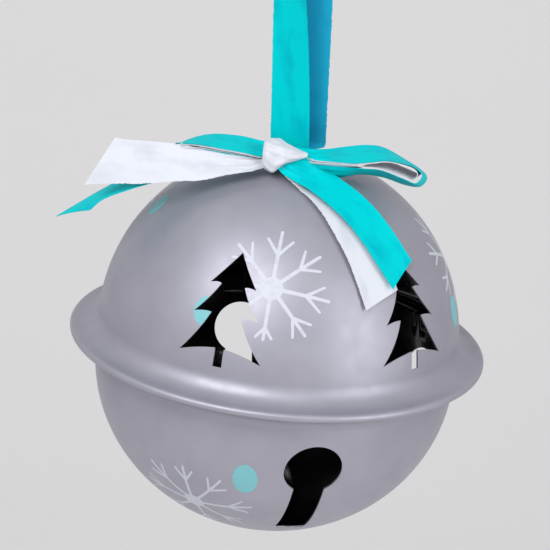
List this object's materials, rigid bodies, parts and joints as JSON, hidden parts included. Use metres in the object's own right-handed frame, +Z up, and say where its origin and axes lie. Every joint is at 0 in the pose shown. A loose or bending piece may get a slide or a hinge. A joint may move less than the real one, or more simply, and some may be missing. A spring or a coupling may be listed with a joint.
{
  "type": "jingle bell ornament",
  "caption": "Round tin jingle bell of two halves with tree and keyhole cut-outs, a loose ball inside, a satin bow and a ribbon loop to hang it by.",
  "frame": {"origin": "the hang point, at the inside of the ribbon loop's top fold. The loop leans as in the picture, so the bell's own axis is 5.6 mm to +X of it", "axes": "+Z up along the bell's axis, -Y towards the side that carries the bow's knot, +X to the right of a viewer who faces the bow"},
  "size_m": [0.1068, 0.1, 0.1731],
  "materials": {
    "painted_tin": "satin metallic lavender-grey paint outside, gloss black inside",
    "steel_wire": "plain drawn wire",
    "ball_steel": "dull steel ball",
    "teal_satin": "satin ribbon",
    "white_satin": "satin ribbon"
  },
  "bodies": {
    "ribbon": {"hanging_ribbon": "teal_satin"},
    "eye": {"hanger_eye": "steel_wire", "bow_knot": "white_satin", "bow_ribbon_teal": "teal_satin", "bow_ribbon_white": "white_satin"},
    "bell": {"upper_shell": "painted_tin", "lower_shell": "painted_tin"},
    "ball": {"jingle_ball": "ball_steel"}
  },
  "joints": [
    {"name": "ribbon_swing", "type": "hinge", "parent": "ribbon", "child": "eye", "pos_m": [0.00557, 0, -0.07841], "axis": [0.4226, 0.9063, 0], "range_deg": [-25, 25]},
    {"name": "bell_swivel", "type": "hinge", "parent": "eye", "child": "bell", "pos_m": [0.00557, 0, -0.1258], "axis": [0, 0, 1], "continuous": true},
    {"name": "ball_roll", "type": "hinge", "parent": "bell", "child": "ball", "pos_m": [0.00557, 0, -0.13155], "axis": [0.4891, 0.8722, 0], "range_deg": [-120, 120]}
  ]
}
